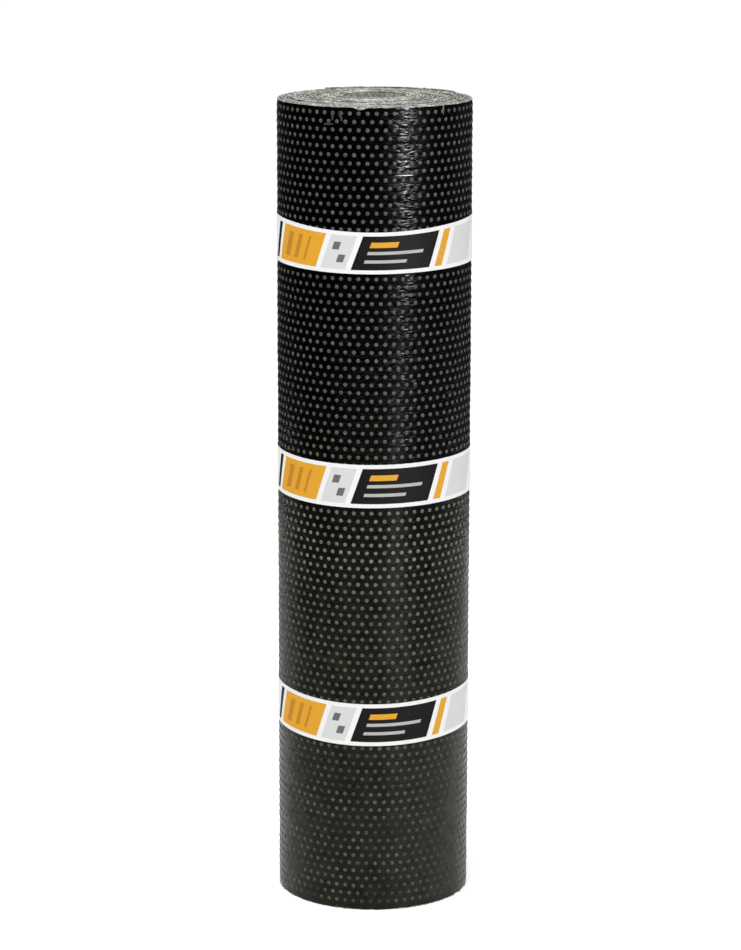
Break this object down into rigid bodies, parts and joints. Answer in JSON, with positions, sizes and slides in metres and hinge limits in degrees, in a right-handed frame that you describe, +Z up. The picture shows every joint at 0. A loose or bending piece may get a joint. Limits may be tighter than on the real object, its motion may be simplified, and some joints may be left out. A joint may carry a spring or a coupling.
{
  "type": "roll of roofing felt",
  "caption": "Roll of black film-faced bitumen roofing felt standing on end, with a spiral-wound edge, an open bore and printed paper bands.",
  "frame": {"origin": "on the axis of the bore, in the plane that the roll stands on", "axes": "+Z up along the bore, -Y towards the viewer of the picture"},
  "size_m": [0.2387, 0.2415, 1],
  "materials": {
    "felt": "gloss film outside, dusty cut edges",
    "band_paper": "smooth coated paper"
  },
  "bodies": {
    "root": {"felt_roll": "felt", "lower_band": "band_paper", "middle_band": "band_paper", "upper_band": "band_paper"}
  },
  "joints": []
}
